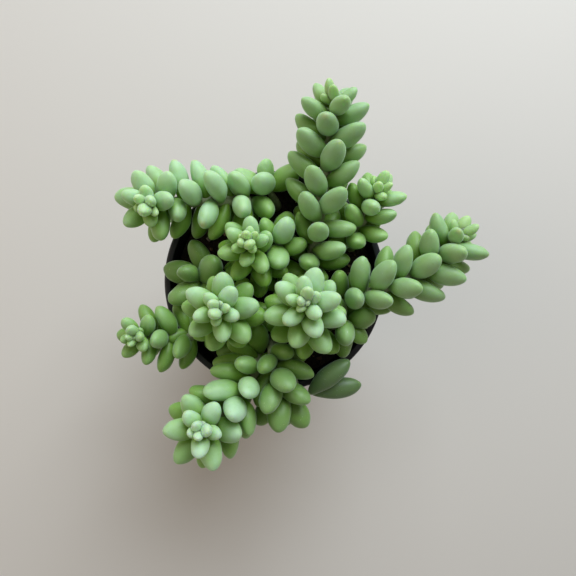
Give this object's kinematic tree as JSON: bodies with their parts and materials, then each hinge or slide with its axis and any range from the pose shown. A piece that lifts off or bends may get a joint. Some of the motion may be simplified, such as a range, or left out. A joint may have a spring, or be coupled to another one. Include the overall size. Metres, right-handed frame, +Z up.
{
  "type": "potted burro's tail plant",
  "caption": "Trailing succulent with plump, powdery green leaves packed round arching stems, planted in a small round tapered nursery pot filled with dark soil.",
  "frame": {"origin": "centre of the pot's flat underside, on the surface it stands on", "axes": "+Z up along the pot's axis, +Y towards the back of the plant, +X to its right"},
  "size_m": [0.1068, 0.1085, 0.0907],
  "materials": {
    "pot_plastic": "thin moulded black plastic, satin",
    "soil": "dark, coarse potting mix with bark and grit",
    "foliage": "plump leaf with a pale powdery bloom"
  },
  "bodies": {
    "root": {"pot": "pot_plastic", "soil": "soil", "stem_centre_right": "foliage", "stem_centre_left": "foliage", "stem_centre_back": "foliage", "stem_front_left": "foliage", "stem_back_left": "foliage", "stem_left": "foliage", "stem_right": "foliage", "stem_back": "foliage", "stem_back_right": "foliage", "shoot_middle": "foliage", "shoot_front_right": "foliage", "shoot_back": "foliage", "shoot_centre": "foliage", "shoot_right": "foliage", "shoot_left": "foliage"}
  },
  "joints": []
}
